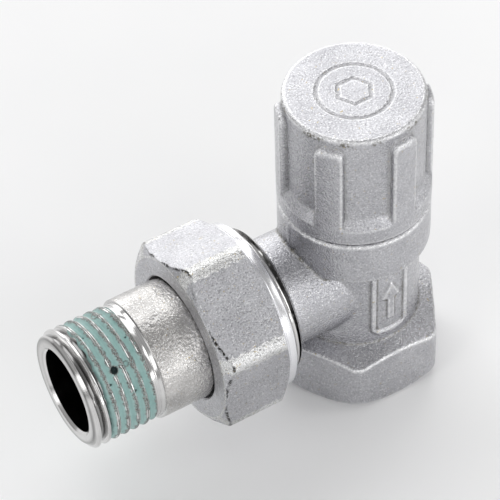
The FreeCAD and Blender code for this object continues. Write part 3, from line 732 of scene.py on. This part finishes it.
def buildNut():
    back, front = sorted(-x for x in reach("union_nut", 0))
    corner = nut["flats"] / 2 / math.cos(math.radians(30))
    ring, ringEnd = nut["flats"] / 2, back + nut["ringLength"]
    face, faceEdge = nut["frontFace"], nut["faceBand"]
    edge, soft, groove = nut["ringEdge"], nut["ringSoft"], nut["ringGroove"]
    thread, bore = nut["threadRadius"], nut["boreRadius"]
    mouth, mouthSlope = nut["mouth"]
    shoulder = front - nut["wall"]
    threadEnd = shoulder - nut["threadRunOut"]
    threadRange = (back + nut["threadLead"], threadEnd, pipeThread["pitch"], nut["samples"])
    closeRows = np.array(nut["closeRows"])
    near = np.concatenate((-closeRows[::-1], [0], closeRows))
    margin, last = nut["flatMargin"], closeRows[-1]
    ringRows = [(ringEnd, ring - groove), (ringEnd - groove, ring - groove), (ringEnd - 2 * groove, ring),
                (back + edge + 2 * slack, ring), (back + edge, ring - soft), (back + soft, ring - edge),
                (back, ring - edge - slack), (back, thread + mouth)]
    inside = [(shoulder - 0.88, thread), (shoulder, thread), (shoulder, bore),
              (front - nut["boreEdge"], bore), (front, bore + nut["boreEdge"]),
              *((front, row) for row in nut["faceRows"]),
              (front, face - faceEdge), (front, face - 2 * slack)]

    def outside(theta, heights):
        frontCone = face + (front - heights) * (corner - face) / nut["frontChamfer"]
        backCone = ring + (heights - ringEnd) * (corner - ring) / nut["backChamfer"]
        skin = softMin(frontCone, np.full_like(heights, hexReach(theta)), nut["softEdge"])
        return softMin(skin, backCone, nut["softEdge"])

    def loopAt(theta):
        out = hexReach(theta)
        frontMeet = front - (out - face) * nut["frontChamfer"] / (corner - face)
        backMeet = ringEnd + (out - ring) * nut["backChamfer"] / (corner - ring)
        flank = np.concatenate((
            [front], np.linspace(front, frontMeet + last, 5), frontMeet - near,
            np.linspace(frontMeet - margin, backMeet + margin, nut["flatRows"]),
            backMeet - near, np.linspace(backMeet - last, ringEnd, 3)))
        flank = np.clip(flank, ringEnd + 0.02, front)
        skin = np.stack((flank, outside(theta, flank)), axis=1)
        heights = threadHeights(theta, *threadRange)
        wave = threadWave(theta, heights, pipeThread["pitch"])
        wall = thread - pipeThread["depth"] * (1 - wave) + nut["threadRise"]
        wall = np.maximum(wall, thread + nut["threadRise"] - (heights - back - mouth) * mouthSlope)
        return np.concatenate((skin, ringRows, np.stack((heights, wall), axis=1), inside))

    lastRow = len(loopAt(0)) - len(inside) - 1
    firstRow = lastRow - len(threadHeights(0, *threadRange)) + 1
    shell = columnMesh("union_nut_forging", nut["columns"], loopAt,
                       climbing=(firstRow, lastRow, nut["samples"]), place=unionTurn)

    def onHexagon(p):
        return ((-p[:, 0] > ringEnd + 0.3) & (offUnion(p) > face - 0.2)).astype(float)

    def onCorner(p):
        wobble = sum(size * np.sin(p[:, 0] * rate) for size, rate in nut["cornerWobble"])
        band = cornerTurn(p) + wobble < nut["cornerBand"]
        return band & (-p[:, 0] > ringEnd + 2 * slack) & (offUnion(p) > face)

    def cornerShare(p):
        return onCorner(p).astype(float)

    def onFaceEdge(p):
        return (-p[:, 0] > front - 0.02) & (offUnion(p) > face - faceEdge)

    def onRing(p):
        inThread = (offUnion(p) < thread + slack) & (-p[:, 0] < front - 0.3)
        return (-p[:, 0] < ringEnd + 0.01) | inThread

    def onBackChamfer(p):
        meet = ringEnd + (flatReach(p) - ring) * nut["backChamfer"] / (corner - ring)
        return (-p[:, 0] < meet - 0.03) & (offUnion(p) > ring - 0.5)

    roughen(shell, nut["castSize"], nut["castHeight"], where=onHexagon, seed=9.0)
    roughen(shell, nut["cornerSize"], nut["cornerHeight"], where=cornerShare, seed=12.0)
    points = np.array([v.co for v in shell.data.vertices]) / mm
    meet = front - (flatReach(points) - face) * nut["frontChamfer"] / (corner - face)
    crack = 1 - ease(0.4 * nut["crackReach"], nut["crackReach"], np.abs(-points[:, 0] - meet))
    worn = ease(-0.25, 0.15, lumps(points, 2.0, 15.0))
    pointValues(shell, "grimeAndShade", crack * worn * (offUnion(points) > face + 0.15))
    pointValues(shell, "edge", np.full(len(points), 0.5))
    finish(shell, [
        (nutMetal, None),
        (nutCornerMetal, onCorner),
        (nutCornerMetal, onFaceEdge),
        (ringMetal, onRing),
        (ringMetal, onBackChamfer),
    ])
    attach(shell, "nut")
    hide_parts("union_nut")


buildNut()
print("union nut built")


tail = {
    "columns": 420,
    "samples": 14,
    "bore": 7.44,
    "boreRows": (6.0, 14),
    "mouthChamfer": 0.5,
    "mouthLip": 0.7,
    "spigot": 9.35,
    "spigotEdge": 0.3,
    "spigotLength": 3.3,
    "ringGroove": (0.95, 1.2, 1.05),    # depth, middle from the spigot's end, width
    "flange": 11.9,
    "flangeEdge": 0.2,
    "flangeLength": 2.4,
    "pipe": 10.75,
    "pipeRows": 78,
    "outside": 9.9,                     # anything farther out belongs to the pipe's outside
    "swellSize": 1.0,                   # slow swells of the cast pipe
    "swellDepth": 0.024,
    "castSize": 0.43,                   # fine unevenness over them
    "castDepth": 0.046,
    "turned": 10.18,
    "turnedLength": 1.5,
    "stepProfile": [(-0.04, -0.03), (0.0, -0.12)],    # from the band's start and the pipe's radius
    "bandProfile": [(0.02, 0.05), (0.10, 0.0), (0.45, 0.0), (0.55, -0.05), (0.70, -0.05), (0.80, 0.0)],
    "thread": 10.4775,
    "threadLength": 11.6,
    "threadChamfer": 0.9,
    "threadRise": (0.25, 1.4),          # depth and slope of the first turn
    "coated": 10.39,                    # crests under the sealant
    "coatedEnd": (8.2, 9.0),
    "pitDepth": 1.15,                   # the metal lies this many times deeper than the film's pits
    # how strong the painted shade in the thread's roots is
    "paintedRootShade": 0.75,
}


sealant = {
    "columns": 620,
    "samples": 16,
    "start": 0.15,
    "length": 8.6,
    "crest": 10.43,
    "valley": 0.52,          # from the crest down to the filled root
    "inner": 9.2,
    "lumpHeight": 0.07,
    "rimHeight": 0.10,
    "edgeWander": 0.35,
    "wornFrom": (0.52, 0.76),
    "pits": [                # degrees round from the top, reach along the axis, radius, depth
        (-39, 50.3, 0.60, 0.75),
        (-38, 48.0, 0.40, 0.06),
        (27, 47.4, 0.70, 0.04),
        (-50, 51.7, 0.20, 0.30),
        (-66, 48.1, 0.28, 0.22),
        (-92, 46.4, 0.24, 0.20),
        (-15, 45.9, 0.22, 0.16),
        (5, 51.9, 0.26, 0.15),
        (75, 49.0, 0.40, 0.20),
        (150, 47.0, 0.50, 0.22),
        (-140, 50.6, 0.34, 0.20),
    ],
}


def sealantPits(theta, heights):
    # how far the film's bubbles and pits reach in at each height, with their bright rims apart
    hollow, rim = np.zeros_like(heights), np.zeros_like(heights)
    for angle, middle, radius, depth in sealant["pits"]:
        turn = (theta - math.radians(angle) + math.pi) % (2 * math.pi) - math.pi
        distance = np.hypot(turn * sealant["crest"], heights - middle) / radius
        hollow = np.maximum(hollow, depth * np.exp(-distance ** 4))
        rim = np.maximum(rim, (radius > 0.3) * np.exp(-((distance - 1.2) / 0.25) ** 2))
    return hollow, rim


def buildTail():
    spigotEnd, end = sorted(-x for x in reach("tailpiece", 0))
    flangeStart = spigotEnd + tail["spigotLength"]
    flangeEnd = flangeStart + tail["flangeLength"]
    threadStart = end - tail["threadLength"]
    turnedStart = threadStart - tail["turnedLength"]
    depth, middle, width = tail["ringGroove"]
    grooveLow, grooveHigh = spigotEnd + middle - width / 2, spigotEnd + middle + width / 2
    bore, mouth, lip = tail["bore"], tail["mouthChamfer"], tail["mouthLip"]
    spigot, spigotEdge = tail["spigot"], tail["spigotEdge"]
    flange, flangeEdge = tail["flange"], tail["flangeEdge"]
    pipe, turned, thread, coated = tail["pipe"], tail["turned"], tail["thread"], tail["coated"]
    riseDepth, riseSlope = tail["threadRise"]
    threadRange = (threadStart + 0.1, end, pipeThread["pitch"], tail["samples"])

    mouthPart = [(end, bore + mouth + lip), (end, bore + mouth), (end - mouth, bore)]
    borePart = [*((end - row, bore) for row in tail["boreRows"]), (flangeStart, bore),
                (spigotEnd + spigotEdge, bore), (spigotEnd, bore + spigotEdge)]
    spigotPart = [(spigotEnd, spigot - spigotEdge), (spigotEnd + spigotEdge, spigot), (grooveLow, spigot),
                  (grooveLow, spigot - depth), (grooveHigh, spigot - depth), (grooveHigh, spigot),
                  (flangeStart, spigot)]
    flangePart = [(flangeStart, flange - flangeEdge), (flangeStart + flangeEdge, flange),
                  (flangeEnd - flangeEdge, flange), (flangeEnd, flange - flangeEdge), (flangeEnd, pipe)]
    pipeRows = np.linspace(flangeEnd + 0.3, turnedStart - 0.12, tail["pipeRows"])
    pipePart = np.stack((pipeRows, np.full_like(pipeRows, pipe)), axis=1)
    bandPart = [*((turnedStart + along, pipe + out) for along, out in tail["stepProfile"]),
                *((turnedStart + along, turned + out) for along, out in tail["bandProfile"]),
                (threadStart - 0.1, turned), (threadStart, turned - 0.2)]

    def loopAt(theta):
        heights = threadHeights(theta, *threadRange)
        wall = thread - pipeThread["depth"] * (1 - threadWave(theta, heights, pipeThread["pitch"]))
        wall = np.minimum(wall, thread - tail["threadChamfer"] + (end - heights))
        wall = np.minimum(wall, turned - riseDepth + riseSlope * (heights - threadStart))
        bare = ease(*tail["coatedEnd"], heights - threadStart)
        wall = np.minimum(wall, coated + (thread - coated) * bare)
        wall = wall - tail["pitDepth"] * sealantPits(theta, heights)[0]
        threadPart = np.stack((heights, wall), axis=1)
        return np.concatenate((threadPart, mouthPart, borePart, spigotPart, flangePart, pipePart, bandPart))

    def onPipe(p):
        along = -p[:, 0]
        clearOfBand = 1 - ease(turnedStart - 0.25, turnedStart - 0.1, along)
        return ease(flangeEnd, flangeEnd + 1, along) * clearOfBand * (offUnion(p) > tail["outside"])

    def castOutside(p):
        return (-p[:, 0] > flangeEnd) & (-p[:, 0] < turnedStart - 0.03) & (offUnion(p) > tail["outside"])

    lastRow = len(threadHeights(0, *threadRange)) - 1
    shell = columnMesh("tailpiece_turning", tail["columns"], loopAt,
                       climbing=(0, lastRow, tail["samples"]), place=unionTurn)
    roughen(shell, tail["swellSize"], tail["swellDepth"], where=onPipe, seed=2.0)
    roughen(shell, tail["castSize"], tail["castDepth"], where=onPipe, seed=5.0)

    points = np.array([v.co for v in shell.data.vertices]) / mm
    off = offUnion(points)
    root = (off < thread - 0.35) & (-points[:, 0] > threadStart + 0.3) & (off > bore + 1.3)
    theta = np.arctan2(points[:, 1], points[:, 2] - unionHeight)
    pit = sealantPits(theta, -points[:, 0])[0]
    # painted shade: the thread's roots are darkened, and so is the metal under the film's pits
    dirtAndShade = tail["paintedRootShade"] * root * ease(0.55, 0.95, thread - off)
    pointValues(shell, "grimeAndShade", np.maximum(dirtAndShade, ease(0.05, 0.12, pit)))
    pointValues(shell, "edge", np.full(len(points), 0.5))
    finish(shell, [
        (turnedAlongX, None),
        (pipeMetal, castOutside),
        (boreShadeMetal, lambda p: offUnion(p) < bore + 0.01),
    ])
    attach(shell, "tail")
    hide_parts("tailpiece")
    return threadStart


threadStart = buildTail()
print("tailpiece built")


def buildSealant():
    start = threadStart + sealant["start"]
    end = threadStart + sealant["length"]
    inner, crest = sealant["inner"], sealant["crest"]
    threadRange = (start, end, pipeThread["pitch"], sealant["samples"])
    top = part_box("thread_sealant")[1].z / mm - unionHeight

    def surface(theta, heights):
        around = [np.full_like(heights, 10 * math.cos(theta)), np.full_like(heights, 10 * math.sin(theta))]
        ring = np.stack((heights, *around), axis=1)
        wave = threadWave(theta, heights, pipeThread["pitch"], flat=1.0)
        uneven = lumps(ring, 2.4, 3.0) + 0.45 * lumps(ring, 0.7, 7.0)
        skin = crest - sealant["valley"] * (1 - wave) + sealant["lumpHeight"] * uneven * (1.2 - 0.6 * wave)
        hollow, rim = sealantPits(theta, heights)
        skin = skin - hollow + sealant["rimHeight"] * rim
        edge = end - 0.25 + sealant["edgeWander"] * lumps(ring, 1.6, 11.0)
        skin = skin - 1.4 * ease(edge - 0.25, edge + 0.1, heights)    # ragged end of the film
        return np.minimum(skin, top - 0.005)

    def loopAt(theta):
        heights = threadHeights(theta, *threadRange)
        skin = np.maximum(surface(theta, heights), inner + 0.02)
        return np.concatenate((np.stack((heights, skin), axis=1), [(end, inner), (start, inner)]))

    lastRow = len(threadHeights(0, *threadRange)) - 1
    shell = columnMesh("thread_sealant_skin", sealant["columns"], loopAt,
                       climbing=(0, lastRow, sealant["samples"]), place=unionTurn)
    points = np.array([v.co for v in shell.data.vertices]) / mm
    theta = np.arctan2(points[:, 1], points[:, 2] - unionHeight)
    wave = threadWave(theta, -points[:, 0], pipeThread["pitch"], flat=1.0)
    ragged = wave + 0.45 * lumps(points, 0.45, 31.0) + 0.25 * lumps(points, 1.5, 21.0)
    pit, rim = sealantPits(theta, -points[:, 0])
    pointValues(shell, "wear", np.maximum(ease(*sealant["wornFrom"], ragged), rim))
    pointValues(shell, "hollow", np.maximum(1 - ease(0.0, 0.6, wave), 2 * ease(0.08, 0.16, pit)))
    finish(shell, [(sealantMetal, None)], sharpAngle=70)
    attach(shell, "tail")
    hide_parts("thread_sealant")


buildSealant()
print("sealant built")


headwork = {
    "threadStart": 41.5,
    "threadEnd": 46.7,
    "threadRadius": 10.0,
    "cutterRadius": 11.5,
}


def buildHeadwork():
    shell = copied("headwork", "headwork_turning")
    cutter = threadSleeve("headwork_cutter", headwork["threadStart"], headwork["threadEnd"],
                          headwork["threadRadius"], headwork["cutterRadius"], capThread)
    combine(shell, cutter, "DIFFERENCE")
    finish(shell, [(brassUpright, None)])
    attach(shell, "body")
    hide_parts("headwork")


buildHeadwork()
print("headwork built")


smallParts = {
    "headwork_seal": rubber,
    "snap_ring": springSteel,
    "spindle": brassUpright,
    "stop_washer": ptfe,
    "spindle_o_ring_lower": rubber,
    "spindle_o_ring_upper": rubber,
    "memory_screw": brassUpright,
    "memory_screw_o_ring": rubber,
    "shutter": brassUpright,
    "shutter_washer": rubber,
    "washer_retainer": springSteel,
    "shutter_screw": springSteel,
    "shutter_clip": springSteel,
    "cap_seal": rubber,
    "tail_o_ring": rubber,
}
for name, material in smallParts.items():
    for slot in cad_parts[name].material_slots:
        slot.material = material
print("small parts finished")


studio = {    # places and sizes in metres, power in watts
    "sky": 0.40,
    "floorSize": 3.0,
    "floorDrop": 0.0002,
    "floorPatch": 40.0,    # millimetres
    "floorTones": [(0.3, (0.94, 0.94, 0.945)), (0.7, (0.96, 0.96, 0.96))],
    "lamps": [
        {"name": "overhead", "place": (0.14, 0.46, 0.74), "aim": (0.02, 0, 0.02),
         "size": (1.0, 0.62), "power": 3.1},
        {"name": "front", "place": (-0.20, -0.85, 0.55), "aim": (0, 0, 0.02),
         "size": (0.9, 0.5), "power": 2.0},
        {"name": "sill", "place": (0.33, -0.90, 0.15), "aim": (0, 0, 0.03),
         "size": (0.5, 0.20), "power": 0.9},
        {"name": "back", "place": (0.30, 0.95, 0.22), "aim": (0, 0, 0.05),
         "size": (1.7, 0.5), "power": 5.4},
        {"name": "left", "place": (-0.75, -0.15, 0.45), "aim": (0, 0, 0.02),
         "size": (0.35, 0.7), "power": 1.2},
        {"name": "right", "place": (0.65, -0.45, 0.40), "aim": (0, 0, 0.02),
         "size": (0.30, 0.7), "power": 1.2},
    ],
}


def buildStudio():
    scene = bpy.context.scene
    scene.view_settings.view_transform = "Standard"
    world = bpy.data.worlds.new("studio_air")
    scene.world = world
    world.use_nodes = True
    back = world.node_tree.nodes["Background"]
    back.inputs["Color"].default_value = (1, 1, 1, 1)
    back.inputs["Strength"].default_value = studio["sky"]
    for lamp in studio["lamps"]:
        data = bpy.data.lights.new(lamp["name"], "AREA")
        data.shape, data.size, data.size_y = "RECTANGLE", *lamp["size"]
        data.energy = lamp["power"]
        light = bpy.data.objects.new(lamp["name"], data)
        scene.collection.objects.link(light)
        light.location = lamp["place"]
        facing = Vector(lamp["aim"]) - Vector(lamp["place"])
        light.rotation_euler = facing.to_track_quat("-Z", "Y").to_euler()
    half = studio["floorSize"] / 2
    corners = [(-half, -half, 0), (half, -half, 0), (half, half, 0), (-half, half, 0)]
    mesh = bpy.data.meshes.new("floor")
    mesh.from_pydata(corners, [], [(0, 1, 2, 3)])
    floor = linked("floor", mesh)
    paper, tree, shader = newMaterial("white_paper")
    tone = ramp(tree, pattern(tree, studio["floorPatch"], detail=2), studio["floorTones"])
    tree.links.new(tone, shader.inputs["Base Color"])
    shader.inputs["Roughness"].default_value = 0.9
    mesh.materials.append(paper)
    floor.location.z = cadBox[0][2] - studio["floorDrop"]


buildStudio()


view = {
    "azimuth": -30.046,     # degrees, 0 looks along +Y
    "elevation": 47.2,
    "roll": -2.156,
    "distance": 0.47521,
    "aim": (-0.01248, 0.01378, 0.01906),
    "lens": 197.07,
    "sensor": 36.0,
}


def placeCamera():
    az, el, roll = (math.radians(view[k]) for k in ("azimuth", "elevation", "roll"))
    back = Vector((math.sin(az) * math.cos(el), -math.cos(az) * math.cos(el), math.sin(el)))
    right = Vector((math.cos(az), math.sin(az), 0))
    up = back.cross(right)
    rolledRight = right * math.cos(roll) + up * math.sin(roll)
    rolledUp = up * math.cos(roll) - right * math.sin(roll)
    lens = bpy.data.cameras.new("camera")
    lens.lens = view["lens"]
    lens.sensor_width = view["sensor"]
    lens.clip_start = 0.01
    camera = bpy.data.objects.new("camera", lens)
    bpy.context.scene.collection.objects.link(camera)
    turn = Matrix((rolledRight, rolledUp, back)).transposed().to_4x4()
    camera.matrix_world = Matrix.Translation(Vector(view["aim"]) + back * view["distance"]) @ turn
    bpy.context.scene.camera = camera


placeCamera()
print("studio and camera set")
